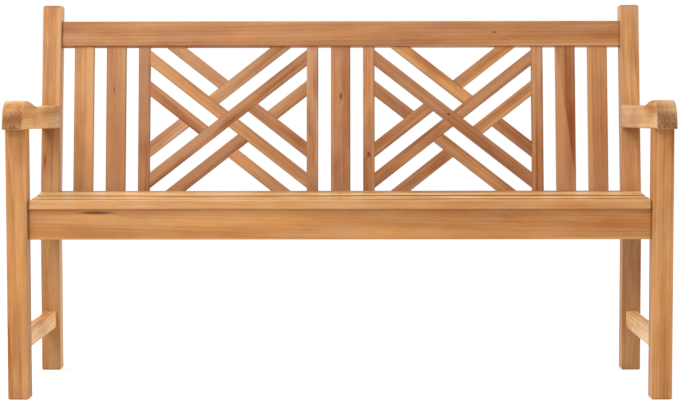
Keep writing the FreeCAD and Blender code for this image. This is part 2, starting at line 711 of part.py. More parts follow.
stretcher = stick(
    "stretcher", "XZ_Plane", "sizes.stretcher_thickness", "sizes.stretcher_height", "sizes.rail_round",
    "sizes.frame_depth - sizes.leg_depth",
    spot("layout.leg_middle", "layout.leg_front + (sizes.frame_depth + sizes.leg_depth) / 2",
         "layout.stretcher_middle"),
    ("sizes.tenon_thickness", "sizes.stretcher_height - 2 * sizes.tenon_shoulder",
     "sizes.frame_depth - sizes.leg_depth + 2 * sizes.tenon_length"))
stretcher_socket_height = "(sizes.stretcher_height - 2 * sizes.tenon_shoulder + 2 * sizes.fit)"
stretcher_socket = block(
    "stretcher_socket",
    (f"layout.leg_middle - ({thick_socket}) / 2", socket_start,
     f"layout.stretcher_middle - {stretcher_socket_height} / 2"),
    (thick_socket, long_socket, stretcher_socket_height))

# Rails of the back

rail_bars = {}
rail_sockets = {}
for rail in ("top", "lower"):
    name = rail + "_rail"
    low = f"layout.{rail}_tenon_low"
    high = f"layout.{rail}_tenon_high"
    middle = f"layout.{name}_middle"
    rail_bars[name] = stick(
        name, "YZ_Plane", "sizes.back_rail_thickness", f"sizes.{name}_height", "sizes.rail_round",
        "2 * layout.leg_inner", back + spot(0, "layout.back_middle", middle))
    rail_tenon_outline = outline(rail_bars[name], name + "_tenon_outline", "YZ_Plane", [
        ("-sizes.tenon_thickness / 2", f"{low} - {middle}"),
        ("sizes.tenon_thickness / 2", f"{low} - {middle}"),
        ("sizes.tenon_thickness / 2", f"{high} - {middle}"),
        ("-sizes.tenon_thickness / 2", f"{high} - {middle}"),
    ])
    pad(rail_bars[name], name + "_tenon", rail_tenon_outline, "2 * (layout.leg_inner + sizes.tenon_length)")
    rail_sockets[name] = block(
        name + "_socket",
        (0, f"layout.back_middle - ({thick_socket}) / 2", f"{low} - sizes.fit"),
        ("layout.leg_inner + sizes.tenon_length + sizes.fit", thick_socket,
         f"{high} - {low} + 2 * sizes.fit"),
        back)

# Upright slats and stiles of the back, with stub tenons in both rails

uprights = {}
upright_sockets = {}
for name, middle, width in (
        ("back_slat_centre", "0", "sizes.back_slat_width"),
        ("back_slat_inner", "layout.inner_slat", "sizes.back_slat_width"),
        ("back_slat_outer", "layout.outer_slat", "sizes.back_slat_width"),
        ("lattice_stile_inner", "layout.inner_stile", "sizes.stile_width"),
        ("lattice_stile_outer", "layout.outer_stile", "sizes.stile_width")):
    stub_width = f"({width} - 2 * sizes.tenon_shoulder)"
    socket_width = f"({stub_width} + 2 * sizes.fit)"
    socket_thickness = "(sizes.stub_thickness + 2 * sizes.fit)"
    stub_reach = "(layout.opening_height + 2 * sizes.stub_length)"
    uprights[name] = stick(
        name, "XY_Plane", width, "sizes.back_slat_thickness", "sizes.back_round", "layout.opening_height",
        back + spot(middle, "layout.back_middle", "layout.opening_middle"),
        (stub_width, "sizes.stub_thickness", stub_reach))
    upright_sockets[name] = block(
        name + "_socket",
        (f"{middle} - {socket_width} / 2", f"layout.back_middle - {socket_thickness} / 2",
         f"layout.opening_middle - {stub_reach} / 2 - sizes.fit"),
        (socket_width, socket_thickness, f"{stub_reach} + 2 * sizes.fit"), back)

# Lattice of the right panel. Its lines run both ways at one slope: the main and the cross strip over the
# middle, and a line on each side of them, broken where a strip of the other way passes in front of it.

opening_growth = {
    "shoulder": "0",
    "tongue": "sizes.tongue_length",
    "socket": "(sizes.tongue_length + sizes.fit)",
}
opening_cut = {}
for name, growth in opening_growth.items():
    wide = f"(layout.opening_width + 2 * {growth})"
    high = f"(layout.opening_height + 2 * {growth})"
    opening_cut[name] = block(
        "opening_" + name,
        (f"-{wide} / 2", "-sizes.post_depth / 2", f"-{high} / 2"),
        (wide, "sizes.post_depth", high), panel)

strip_sections = {
    "tongue": ("sizes.tongue_width", "sizes.tongue_thickness"),
    "socket": ("(sizes.tongue_width + 2 * sizes.fit)", "(sizes.tongue_thickness + 2 * sizes.fit)"),
}
mate_widths = {
    "shoulder": "sizes.strip_width",
    "tongue": "(sizes.strip_width - 2 * sizes.tongue_length)",
    "socket": "(sizes.strip_width - 2 * (sizes.tongue_length + sizes.fit))",
}


def strip_line(across, up, heading):
    # Where a strip starts, in eighths of the panel's width and of the diagonals' rise, and its heading
    return panel + spot(f"{across} * layout.opening_width / 8", 0, f"{up} * layout.diagonal_rise / 8",
                        f"rotation(vector(0; 1; 0); -({heading}))") + " * "


def strip_block(name, line, wide, thick, start, length):
    return block(name, (start, f"-{thick} / 2", f"-{wide} / 2"), (length, thick, wide), line)


def strip_shapes(name, line, whole, mate_line=None):
    # The strip without its sockets, and the socket that its tongues need
    start = "-layout.opening_width" if whole else "0"
    reach = "2 * layout.opening_width" if whole else "layout.opening_width"
    bar = stick(name, "YZ_Plane", "sizes.strip_thickness", "sizes.strip_width", "sizes.strip_round", reach,
                line + spot(0, 0, 0), symmetric=whole)
    shapes = {"shoulder": bar}
    for kind, (wide, thick) in strip_sections.items():
        shapes[kind] = strip_block(f"{name}_{kind}", line, wide, thick, start, reach)
    for kind, shape in shapes.items():
        shape = boolean("Common", f"{name}_{kind}_in_opening", shape, opening_cut[kind])
        if mate_line:
            mate = strip_block(f"{name}_{kind}_mate", mate_line, mate_widths[kind], "sizes.post_depth",
                               "-layout.opening_width", "2 * layout.opening_width")
            shape = boolean("Cut", f"{name}_{kind}_to_mate", shape, mate)
        shapes[kind] = shape
    strip = boolean("Fuse", name + "_with_tongues", shapes["shoulder"], shapes["tongue"])
    return strip, shapes["socket"]


rising = "layout.lattice_angle"
falling = "-layout.lattice_angle"
# name, start in eighths of the panel, heading, heading of the strip that its inner end meets
part_strips = (
    ("top_long", 1, 1, f"180 {falling}", rising),
    ("top_short", 0, 2, rising, falling),
    ("outer_long", 1, -1, rising, falling),
    ("outer_short", 2, 0, falling, rising),
    ("bottom_long", -1, -1, falling, rising),
    ("bottom_short", 0, -2, f"180 + {rising}", falling),
    ("inner_long", -1, 1, f"180 + {rising}", falling),
    ("inner_short", -2, 0, f"180 {falling}", rising),
)
strips = {}
strip_sockets = {}
for name, heading in (("main", falling), ("cross", rising)):
    strips[name], strip_sockets[name] = strip_shapes("strip_" + name, strip_line(0, 0, heading), True)
for name, across, up, heading, mate_heading in part_strips:
    strips[name], strip_sockets[name] = strip_shapes(
        "strip_" + name, strip_line(across, up, heading), False, strip_line(across, up, mate_heading))

# The main and cross strips are halved where they cross: the main strip keeps its front half
lap_width = "(sizes.strip_width + sizes.fit)"
lap_depth = "sizes.strip_thickness"
lap_length = "(4 * sizes.strip_width)"
laps = {}
for name, heading, start in (("main", rising, "0"), ("cross", falling, f"-{lap_depth}")):
    laps[name] = block("lap_" + name, (f"-{lap_length} / 2", start, f"-{lap_width} / 2"),
                       (lap_length, lap_depth, lap_width), strip_line(0, 0, heading))

# sockets that each strip takes from the strips that end on it
strip_cuts = {
    "main": [laps["main"], strip_sockets["outer_long"], strip_sockets["inner_long"]],
    "cross": [laps["cross"], strip_sockets["top_long"], strip_sockets["bottom_long"]],
    "top_long": [strip_sockets["top_short"]],
    "bottom_long": [strip_sockets["bottom_short"]],
    "outer_long": [strip_sockets["outer_short"]],
    "inner_long": [strip_sockets["inner_short"]],
}

# Seat slats: the front one lies between the legs, the others run over the side rails

short_slat = "2 * (layout.leg_inner - sizes.slat_leg_gap)"
long_slat = "2 * (layout.half_width - sizes.slat_end_inset)"
slats = []
for order, place in enumerate(slat_spots):
    slats.append(stick(
        f"seat_slat_{order + 1}", "YZ_Plane", "layout.slat_width", "sizes.seat_slat_thickness",
        "sizes.seat_slat_round", long_slat if order else short_slat,
        place + spot(0, 0, "sizes.seat_slat_thickness / 2")))

# Pieces with their mortises and holes

finish_pair("front_leg", leg, [
    side_socket, stretcher_socket, apron_socket,
    peg_holes["side_front"], peg_holes["stretcher_front"], peg_holes["arm_front"]])
finish_pair("rear_post", post, [
    side_socket, stretcher_socket, rail_sockets["top_rail"], rail_sockets["lower_rail"], arm_socket,
    peg_holes["side_rear"], peg_holes["stretcher_rear"], peg_holes["arm_rear"],
    peg_holes["top_rail"], peg_holes["lower_rail"]])
finish_pair("arm", arm, [leg_socket, peg_holes["arm_front"], peg_holes["arm_rear"]])
finish_pair("side_rail", side_rail, [
    peg_holes["side_front"], peg_holes["side_rear"],
    *[pilot_holes[order, "end"] for order in range(1, slat_count)]])
finish_pair("stretcher", stretcher, [peg_holes["stretcher_front"], peg_holes["stretcher_rear"]])
finish("front_apron", apron, [
    bearer_socket, pilot_holes[0, "middle"],
    *both_sides("apron", [pilot_holes[0, "half"], pilot_holes[0, "end"]])])
finish("centre_bearer", bearer, [pilot_holes[order, "middle"] for order in range(1, slat_count)])

paired_uprights = [name for name in uprights if name != "back_slat_centre"]
paired_sockets = [upright_sockets[name] for name in paired_uprights]
for name, strip_names, extra in (
        ("top_rail", ("top_long", "top_short"), []),
        ("lower_rail", ("bottom_long", "bottom_short"), [bearer_socket])):
    paired = paired_sockets + [strip_sockets[strip] for strip in strip_names] + [peg_holes[name]]
    finish("back_" + name, rail_bars[name],
           [upright_sockets["back_slat_centre"], *extra, *both_sides(name, paired)])

stile_cuts = {
    "lattice_stile_inner": ("main", "cross", "inner_long", "inner_short"),
    "lattice_stile_outer": ("main", "cross", "outer_long", "outer_short"),
}
finish("back_slat_centre", uprights["back_slat_centre"])
for name in paired_uprights:
    finish_pair(name, uprights[name], [strip_sockets[strip] for strip in stile_cuts.get(name, ())])

for name, strip in strips.items():
    right = finish(f"lattice_right_{name}", strip, strip_cuts.get(name, ()))
    finish(f"lattice_left_{name}", mirror(f"lattice_left_{name}_mirrored", right))

for order, slat in enumerate(slats):
    label = f"seat_slat_{order + 1}"
    side_screws = ("end",) if order else ("half", "end")
    side_bores = [slat_bores[order, name] for name in side_screws]
    finish(label, slat, [slat_bores[order, "middle"], *both_sides(label + "_bores", side_bores)])


def group(label, singles, paired):
    # Identical fasteners, as separate solids in one piece
    right = doc.addObject("Part::Compound", label + "_right_half")
    right.Links = paired
    whole = doc.addObject("Part::Compound", label + "_all")
    whole.Links = [*singles, right, mirror(label + "_left_half", right)]
    finish(label, whole)


def centred(item):
    return item.Name.endswith("_middle")


group("tenon_pegs", [], pegs)
for label, items in (("slat_screws", screws), ("slat_plugs", plugs)):
    group(label, [item for item in items if centred(item)], [item for item in items if not centred(item)])

doc.recompute()

# Every object must be sound before anything is written

faulty = [item.Name for item in doc.Objects if {"Invalid", "Error"} & set(item.State)]
for label, item in pieces.items():
    if item.Shape.isNull() or not item.Shape.isValid() or not item.Shape.Solids:
        faulty.append(label)
if faulty:
    raise SystemExit("Faulty objects: " + ", ".join(faulty))

os.makedirs("parts", exist_ok=True)
for label, item in pieces.items():
    item.Shape.exportStep(f"parts/{label}.step")
print(f"{len(pieces)} pieces, {sum(len(item.Shape.Solids) for item in pieces.values())} solids")
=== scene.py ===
import math
import random

import bpy
import numpy as np
from mathutils import Euler, Matrix, Vector


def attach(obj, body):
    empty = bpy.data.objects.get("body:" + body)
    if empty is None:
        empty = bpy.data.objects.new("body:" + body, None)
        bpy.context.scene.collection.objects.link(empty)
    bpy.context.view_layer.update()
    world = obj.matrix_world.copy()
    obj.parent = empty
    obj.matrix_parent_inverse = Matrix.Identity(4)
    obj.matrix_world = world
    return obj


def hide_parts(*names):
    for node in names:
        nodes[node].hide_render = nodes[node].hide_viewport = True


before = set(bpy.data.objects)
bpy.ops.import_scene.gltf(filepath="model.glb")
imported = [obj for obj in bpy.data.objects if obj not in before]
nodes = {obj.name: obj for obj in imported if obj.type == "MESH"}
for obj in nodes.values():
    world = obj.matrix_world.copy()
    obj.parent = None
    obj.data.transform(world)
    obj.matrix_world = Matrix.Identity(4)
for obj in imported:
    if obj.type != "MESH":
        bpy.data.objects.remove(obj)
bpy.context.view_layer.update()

# A teak garden bench with a lattice back: its finishes, the light and the camera.
# Lengths are in metres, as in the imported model: X along the bench, Y from front to back, Z up.

mm = 0.001
print("frame:", len(nodes), "pieces")


def linear(hexColour):
    # an sRGB hex colour as linear RGBA
    parts = [int(hexColour[i:i + 2], 16) / 255 for i in (0, 2, 4)]
    return [p / 12.92 if p <= 0.04045 else ((p + 0.055) / 1.055) ** 2.4 for p in parts] + [1.0]


def addNode(tree, kind, settings=None, links=None):
    # inputs go by number or by a name with a capital, the node's own settings by a name without
    node = tree.nodes.new(kind)
    for key, value in (settings or {}).items():
        if isinstance(key, int) or key[0].isupper():
            node.inputs[key].default_value = value
        else:
            setattr(node, key, value)
    for key, source in (links or {}).items():
        tree.links.new(source, node.inputs[key])
    return node


# Teak, planed and sanded, left bare: a golden brown wood. Growth rings show as darker lines along each
# board, bands of tone drift across it, open pores give short dark dashes, and some boards keep pale
# sapwood on one side. Tones are depths, from 0 for the palest wood of a board to 1 for its darkest.

teakFigure = {
    "ringSpacing": 9 * mm,         # real rings are 3 to 6 mm, drawn wider so that they show
    "bandWidth": 34 * mm,
    "streakWidth": 5 * mm,
    "poreWidth": 1.4 * mm,         # real pores are about 0.3 mm, drawn wider so that they show
    "patchSize": 46 * mm,          # clouds of tone, and of hue that turns towards painted sheen
    "wander": 16 * mm,             # how far the rings stray from straight
    "wanderSize": 80 * mm,
    "ringStretch": 0.045,          # width of the figure over its length along the board
    "streakStretch": 0.018,
    "poreStretch": 0.07,
    "patchStretch": 0.33,
    "sapFade": 5 * mm,             # over which the sapwood turns to heartwood
    "sapWander": 30 * mm,          # the width that the edge of the sapwood strays over
    "jointShadeFade": 5 * mm,            # over which a board darkens towards a joint: dark oil there, and painted shade of the recess
    "lateWood": 2.2,               # the higher, the narrower the dark part of a ring
    "middle": 0.42,                # the tone that a board of low contrast keeps to
    "bandTones": (-0.02, 0.66),    # of the palest and the darkest band
    "streakTone": 0.2,             # how far streaks and patches shift the tone, either way
    "patchTone": 0.22,
    "poreTone": 0.14,
    "sapTone": -0.6,
    "pale": (1.26, 1.55, 2.15),    # the palest and darkest wood, as shares of the board's colour
    "deep": (0.60, 0.38, 0.13),
    "golden": (1.03, 0.98, 0.84),  # how the hue drifts at random, from golden towards a rosy, paler tint that is painted sheen
    "paintedSheenTint": (0.97, 1.02, 1.18),
    "endGrain": (0.42, 0.35, 0.30),
    "slantCut": 0.42,              # share of that darkness on a slanting cut
    "endFigure": 1.2,              # how much bolder the figure gets on a square cut
    "knotColour": "5E2809",
    "knotDepth": 0.85,
    "knotReach": 4.0,              # sizes of the knot, over which it swells the rings
    "knotSwell": 7.0,
    # the colour of the painted shade at joints and on the sides of seat slats, with dark oil at the
    # joints, and how deep it goes at a joint
    "shadeAndOilColour": "4A2509",
    "jointShadeDepth": 0.6,
    "roughness": (0.42, 0.6),      # of the palest and the darkest wood
    "poreRelief": -0.6,
    "bumpStrength": 0.25,
    "bumpDepth": 0.3 * mm,
    "ior": 1.5,
    "specular": 0.24,              # bare wood is dull
    "logReach": 4,                 # metres along the log, either way, that a board is taken from
    "offHeart": (50, 150),         # mm from the heart of the log
}


def makeTeakGroup(s):
    tree = bpy.data.node_groups.new("teakFigure", "ShaderNodeTree")
    for kind, names in (("Vector", ("Board", "Log", "Normal", "Knot", "Knot scale")),
                        ("Color", ("Tone",)),
                        ("Float", ("Figure", "Contrast", "Sap edge", "Sap slant", "Sap side", "Seam",
                                   "Side shade", "Polish"))):
        for name in names:
            tree.interface.new_socket(name, in_out="INPUT", socket_type="NodeSocket" + kind)
    for name, kind in (("Color", "Color"), ("Roughness", "Float"), ("Height", "Float")):
        tree.interface.new_socket(name, in_out="OUTPUT", socket_type="NodeSocket" + kind)
    given = addNode(tree, "NodeGroupInput").outputs
    smooth = {"interpolation_type": "SMOOTHSTEP"}
    spread = {"clamp": False, "From Min": 0.3, "From Max": 0.7}  # where nearly all of a noise lies

    # the place in the log, drawn out along the board for each kind of figure
    drawn = {}
    for figure in ("ring", "streak", "pore", "patch"):
        place = addNode(tree, "ShaderNodeVectorMath",
                        {"operation": "MULTIPLY", 1: (s[figure + "Stretch"], 1, 1)}, {0: given["Log"]})
        drawn[figure] = place.outputs[0]
    # the rings: circles about the heart of the tree, led astray
    stray = addNode(tree, "ShaderNodeTexNoise", {"Scale": 1 / s["wanderSize"], "Detail": 2.0},
                    {"Vector": drawn["ring"]})
    about = addNode(tree, "ShaderNodeVectorMath", {"operation": "SUBTRACT", 1: (0.5, 0.5, 0.5)},
                    {0: stray.outputs["Color"]})
    led = addNode(tree, "ShaderNodeVectorMath",
                  {"operation": "MULTIPLY_ADD", 1: (0, s["wander"], s["wander"])},
                  {0: about.outputs[0], 2: drawn["ring"]})
    # a knot runs through the board and swells the rings round it
    fromKnot = addNode(tree, "ShaderNodeVectorMath", {"operation": "SUBTRACT"},
                       {0: given["Board"], 1: given["Knot"]})
    inKnots = addNode(tree, "ShaderNodeVectorMath", {"operation": "MULTIPLY"},
                      {0: fromKnot.outputs[0], 1: given["Knot scale"]})
    knotShare = addNode(tree, "ShaderNodeVectorMath", {"operation": "LENGTH"}, {0: inKnots.outputs[0]})
    knotSwell = addNode(tree, "ShaderNodeMapRange",
                        {"interpolation_type": "SMOOTHERSTEP", "From Max": s["knotReach"],
                         "To Min": s["knotSwell"], "To Max": 0.0},
                        {0: knotShare.outputs["Value"]})
    ringWave = addNode(tree, "ShaderNodeTexWave",
                       {"wave_type": "RINGS", "rings_direction": "X", "wave_profile": "SAW",
                        "Scale": math.pi / 10 / s["ringSpacing"],  # one wave to each spacing
                        "Distortion": 3.0, "Detail": 2.0, "Detail Scale": 0.6},
                       {"Vector": led.outputs[0], "Phase Offset": knotSwell.outputs[0]})
    lateWood = addNode(tree, "ShaderNodeMath", {"operation": "POWER", 1: s["lateWood"]},
                       {0: ringWave.outputs["Fac"]})
    # bands of tone, streaks, pores and patches
    bands = addNode(tree, "ShaderNodeTexNoise",
                    {"Scale": 1 / s["bandWidth"], "Detail": 1.0, "Roughness": 0.5},
                    {"Vector": led.outputs[0]})
    streaks = addNode(tree, "ShaderNodeTexNoise",
                      {"Scale": 1 / s["streakWidth"], "Detail": 3.0, "Roughness": 0.65},
                      {"Vector": drawn["streak"]})
    poreNoise = addNode(tree, "ShaderNodeTexNoise", {"Scale": 1 / s["poreWidth"], "Detail": 1.0},
                        {"Vector": drawn["pore"]})
    pores = addNode(tree, "ShaderNodeMapRange", {**smooth, "From Min": 0.58, "From Max": 0.74},
                    {0: poreNoise.outputs["Fac"]})
    patches = addNode(tree, "ShaderNodeTexNoise",
                      {"Scale": 1 / s["patchSize"], "Detail": 2.0, "Roughness": 0.6},
                      {"Vector": drawn["patch"]})
    patchParts = addNode(tree, "ShaderNodeSeparateXYZ", links={0: patches.outputs["Color"]})
    # sapwood on one side of a wavy line along the board
    onBoard = addNode(tree, "ShaderNodeSeparateXYZ", links={0: given["Board"]})
    wavy = addNode(tree, "ShaderNodeMath",
                   {"operation": "MULTIPLY_ADD", 1: s["sapWander"], 2: -s["sapWander"] / 2},
                   {0: stray.outputs["Fac"]})
    slanted = addNode(tree, "ShaderNodeMath", {"operation": "MULTIPLY_ADD"},
                      {0: onBoard.outputs[0], 1: given["Sap slant"], 2: given["Sap edge"]})
    sapLine = addNode(tree, "ShaderNodeMath", {"operation": "ADD"},
                      {0: wavy.outputs[0], 1: slanted.outputs[0]})
    pastLine = addNode(tree, "ShaderNodeMath", {"operation": "SUBTRACT"},
                       {0: onBoard.outputs[2], 1: sapLine.outputs[0]})
    sapSide = addNode(tree, "ShaderNodeMath", {"operation": "MULTIPLY"},
                      {0: pastLine.outputs[0], 1: given["Sap side"]})
    sap = addNode(tree, "ShaderNodeMapRange",
                  {**smooth, "From Max": s["sapFade"], "To Max": s["sapTone"]}, {0: sapSide.outputs[0]})
    # end grain, where the cut fibres drink in light: a little on a slanting cut, most on a square one
    facing = addNode(tree, "ShaderNodeSeparateXYZ", links={0: given["Normal"]})
    endFacing = addNode(tree, "ShaderNodeMath", {"operation": "ABSOLUTE"}, {0: facing.outputs[0]})
    slantCut = addNode(tree, "ShaderNodeMapRange",
                       {**smooth, "From Min": 0.3, "From Max": 0.7, "To Max": s["slantCut"]},
                       {0: endFacing.outputs[0]})
    squareCut = addNode(tree, "ShaderNodeMapRange", {**smooth, "From Min": 0.8, "From Max": 1.0},
                        {0: endFacing.outputs[0]})
    endShare = addNode(tree, "ShaderNodeMath", {"operation": "MULTIPLY_ADD", 1: 1 - s["slantCut"]},
                       {0: squareCut.outputs[0], 2: slantCut.outputs[0]})
    endFigure = addNode(tree, "ShaderNodeMath", {"operation": "MULTIPLY_ADD", 1: s["endFigure"], 2: 1.0},
                        {0: squareCut.outputs[0]})
    # the tone of each point
    paleBand, deepBand = s["bandTones"]
    bandShare = addNode(tree, "ShaderNodeMapRange", {**spread, "To Min": paleBand, "To Max": deepBand},
                        {0: bands.outputs["Fac"]})
    ringShare = addNode(tree, "ShaderNodeMath", {"operation": "MULTIPLY"},
                        {0: given["Figure"], 1: endFigure.outputs[0]})
    withRings = addNode(tree, "ShaderNodeMath", {"operation": "MULTIPLY_ADD"},
                        {0: lateWood.outputs[0], 1: ringShare.outputs[0], 2: bandShare.outputs[0]})
    streakShare = addNode(tree, "ShaderNodeMapRange",
                          {**spread, "To Min": -s["streakTone"], "To Max": s["streakTone"]},
                          {0: streaks.outputs["Fac"]})
    withStreaks = addNode(tree, "ShaderNodeMath", {"operation": "MULTIPLY_ADD"},
                          {0: streakShare.outputs[0], 1: endFigure.outputs[0], 2: withRings.outputs[0]})
    patchShare = addNode(tree, "ShaderNodeMapRange",
                         {**spread, "To Min": -s["patchTone"], "To Max": s["patchTone"]},
                         {0: patchParts.outputs[0]})
    withPatches = addNode(tree, "ShaderNodeMath", {"operation": "ADD"},
                          {0: withStreaks.outputs[0], 1: patchShare.outputs[0]})
    steady = addNode(tree, "ShaderNodeMix", {"data_type": "FLOAT", "clamp_factor": False, 2: s["middle"]},
                     {0: given["Contrast"], 3: withPatches.outputs[0]})
    withSap = addNode(tree, "ShaderNodeMath", {"operation": "ADD"},
                      {0: steady.outputs[0], 1: sap.outputs[0]})
    depth = addNode(tree, "ShaderNodeMath",
                    {"operation": "MULTIPLY_ADD", 1: s["poreTone"], "use_clamp": True},
                    {0: pores.outputs[0], 2: withSap.outputs[0]})
    # its colour, which drifts in hue towards a painted sheen, then knots and end grain
    pale = addNode(tree, "ShaderNodeVectorMath", {"operation": "MULTIPLY", 1: s["pale"]},
                   {0: given["Tone"]})
    deep = addNode(tree, "ShaderNodeVectorMath", {"operation": "MULTIPLY", 1: s["deep"]},
                   {0: given["Tone"]})
    wood = addNode(tree, "ShaderNodeMix", {"data_type": "RGBA"},
                   {0: depth.outputs[0], 6: pale.outputs[0], 7: deep.outputs[0]})
    hue = addNode(tree, "ShaderNodeMapRange", {**spread, "clamp": True}, {0: patchParts.outputs[1]})
    hueAndSheen = addNode(tree, "ShaderNodeMix",
                   {"data_type": "RGBA", 6: (*s["golden"], 1), 7: (*s["paintedSheenTint"], 1)}, {0: hue.outputs[0]})
    tinted = addNode(tree, "ShaderNodeVectorMath", {"operation": "MULTIPLY"},
                     {0: wood.outputs[2], 1: hueAndSheen.outputs[2]})
    knotHeart = addNode(tree, "ShaderNodeMapRange",
                        {**smooth, "From Min": 0.4, "From Max": 1.3, "To Min": s["knotDepth"],
                         "To Max": 0.0},
                        {0: knotShare.outputs["Value"]})
    knotted = addNode(tree, "ShaderNodeMix", {"data_type": "RGBA", 7: linear(s["knotColour"])},
                      {0: knotHeart.outputs[0], 6: tinted.outputs[0]})
    ended = addNode(tree, "ShaderNodeMix",
                    {"data_type": "RGBA", "blend_type": "MULTIPLY", 7: (*s["endGrain"], 1)},
                    {0: endShare.outputs[0], 6: knotted.outputs[2]})
    # painted shade: dark where a board runs into a joint, partly dark oil and partly the shadow of the
    # recess there, and on the sides of seat slats, for the shadow in the gaps between them
    along = addNode(tree, "ShaderNodeMath", {"operation": "ABSOLUTE"}, {0: onBoard.outputs[0]})
    toSeam = addNode(tree, "ShaderNodeMath", {"operation": "SUBTRACT"},
                     {0: given["Seam"], 1: along.outputs[0]})
    jointShadeShare = addNode(tree, "ShaderNodeMapRange",
                        {**smooth, "From Max": s["jointShadeFade"], "To Min": s["jointShadeDepth"], "To Max": 0.0},
                        {0: toSeam.outputs[0]})
    # painted shade on the sides of seat slats, for the shadow in the gaps between them
    sideFacing = addNode(tree, "ShaderNodeMath", {"operation": "ABSOLUTE"}, {0: facing.outputs[1]})
    sideTurn = addNode(tree, "ShaderNodeMapRange", {**smooth, "From Min": 0.2, "From Max": 0.7},
                       {0: sideFacing.outputs[0]})
    sideShare = addNode(tree, "ShaderNodeMath", {"operation": "MULTIPLY"},
                        {0: sideTurn.outputs[0], 1: given["Side shade"]})
    # the painted shade of joints and slat sides, laid over the colour
    paintedShadeShare = addNode(tree, "ShaderNodeMath", {"operation": "MAXIMUM"},
                    {0: jointShadeShare.outputs[0], 1: sideShare.outputs[0]})
    withPaintedShade = addNode(tree, "ShaderNodeMix", {"data_type": "RGBA", 7: linear(s["shadeAndOilColour"])},
                      {0: paintedShadeShare.outputs[0], 6: ended.outputs[2]})
    # gloss and relief
    paleRough, deepRough = s["roughness"]
    sanded = addNode(tree, "ShaderNodeMapRange", {"To Min": paleRough, "To Max": deepRough},
                     {0: depth.outputs[0]})
    rough = addNode(tree, "ShaderNodeMath", {"operation": "SUBTRACT"},
                    {0: sanded.outputs[0], 1: given["Polish"]})
    relief = addNode(tree, "ShaderNodeMath", {"operation": "MULTIPLY_ADD", 1: s["poreRelief"]},
                     {0: pores.outputs[0], 2: streaks.outputs["Fac"]})
    addNode(tree, "NodeGroupOutput", links={"Color": withPaintedShade.outputs[2], "Roughness": rough.outputs[0],
                                            "Height": relief.outputs[0]})
    return tree


teakGroup = makeTeakGroup(teakFigure)

# boards come from different logs, each of its own tone
teakTones = {
    "cream": "E7AE67",
    "oat": "D09957",
    "sand": "CB985E",
    "wheat": "C1874D",
    "barley": "BA8049",
    "straw": "AE794B",
    "honey": "B87A3F",
    "amber": "B0753E",
    "fawn": "AA703D",
    "russet": "A76D3C",
    "chestnut": "A46A3B",
    "umber": "9D6538",
    "bronze": "955C30",
}


def longAxis(points):
    # the way that a board's grain runs: the line that its points lie along
    axis = np.linalg.svd(points - points.mean(0), full_matrices=False)[2][0]
    return Vector(axis if axis[np.abs(axis).argmax()] > 0 else -axis)


def boardFrame(node):
    # a frame on the middle of the board, with X along the grain and Z across the face
    points = np.array([v.co for v in node.data.vertices])
    along = longAxis(points)
    guide = Vector((1, 0, 0)) if abs(along.y) > 0.9 else Vector((0, 1, 0))
    across = (guide - along * guide.dot(along)).normalized()
    turned = Matrix((along, across, along.cross(across))).transposed().to_4x4()
    return Matrix.Translation(Vector((points.min(0) + points.max(0)) / 2)) @ turned


def makeTeak(name, board, tone, log=0, contrast=1, figure=0.2, turn=None, tilt=0.7, sap=(0, 0, 0),
             knot=(0, 0, 0.001, 0.001), seam=10000, sideShade=0, polish=0):
    # each board is sawn from its own place in its log: turned, tilted a little and off the heart
    s = teakFigure
    draw = random.Random(f"{name} {log}")
    turn = draw.uniform(0, 360) if turn is None else turn
    turns = (turn, draw.uniform(-tilt, tilt), draw.uniform(-tilt, tilt))
    spin = Euler([math.radians(angle) for angle in turns])
    heart = Vector((draw.uniform(-s["logReach"], s["logReach"]), draw.uniform(*s["offHeart"]) * mm, 0))
    toLog = Matrix.Translation(heart) @ spin.to_matrix().to_4x4()
    toBoard = board.inverted()
    material = bpy.data.materials.new("teak_" + name)
    material.use_nodes = True
    tree = material.node_tree
    tree.nodes.clear()
    spot = addNode(tree, "ShaderNodeTexCoord")
    onBoard = addNode(tree, "ShaderNodeMapping",
                      {"Location": toBoard.to_translation(), "Rotation": toBoard.to_euler()},
                      {"Vector": spot.outputs["Object"]})
    inLog = addNode(tree, "ShaderNodeMapping",
                    {"Location": toLog.to_translation(), "Rotation": toLog.to_euler()},
                    {"Vector": onBoard.outputs[0]})
    facing = addNode(tree, "ShaderNodeMapping", {"vector_type": "VECTOR", "Rotation": toBoard.to_euler()},
                     {"Vector": spot.outputs["Normal"]})
    sapEdge, sapSide, sapSlant = sap
    knotAlong, knotAcross, knotLong, knotWide = knot
    wood = addNode(tree, "ShaderNodeGroup",
                   {"node_tree": teakGroup, "Tone": linear(teakTones[tone]), "Figure": figure,
                    "Contrast": contrast,
                    "Sap edge": sapEdge * mm, "Sap side": sapSide, "Sap slant": sapSlant,
                    "Knot": (knotAlong * mm, 0, knotAcross * mm),
                    "Knot scale": (1 / (knotLong * mm), 0, 1 / (knotWide * mm)),
                    "Seam": seam * mm, "Side shade": sideShade, "Polish": polish},
                   {"Board": onBoard.outputs[0], "Log": inLog.outputs[0], "Normal": facing.outputs[0]})
    bump = addNode(tree, "ShaderNodeBump", {"Strength": s["bumpStrength"], "Distance": s["bumpDepth"]},
                   {"Height": wood.outputs["Height"]})
    shader = addNode(tree, "ShaderNodeBsdfPrincipled",
                     {"IOR": s["ior"], "Specular IOR Level": s["specular"]},
                     {"Base Color": wood.outputs["Color"], "Roughness": wood.outputs["Roughness"],
                      "Normal": bump.outputs[0]})
    addNode(tree, "ShaderNodeOutputMaterial", links={0: shader.outputs[0]})
    return material
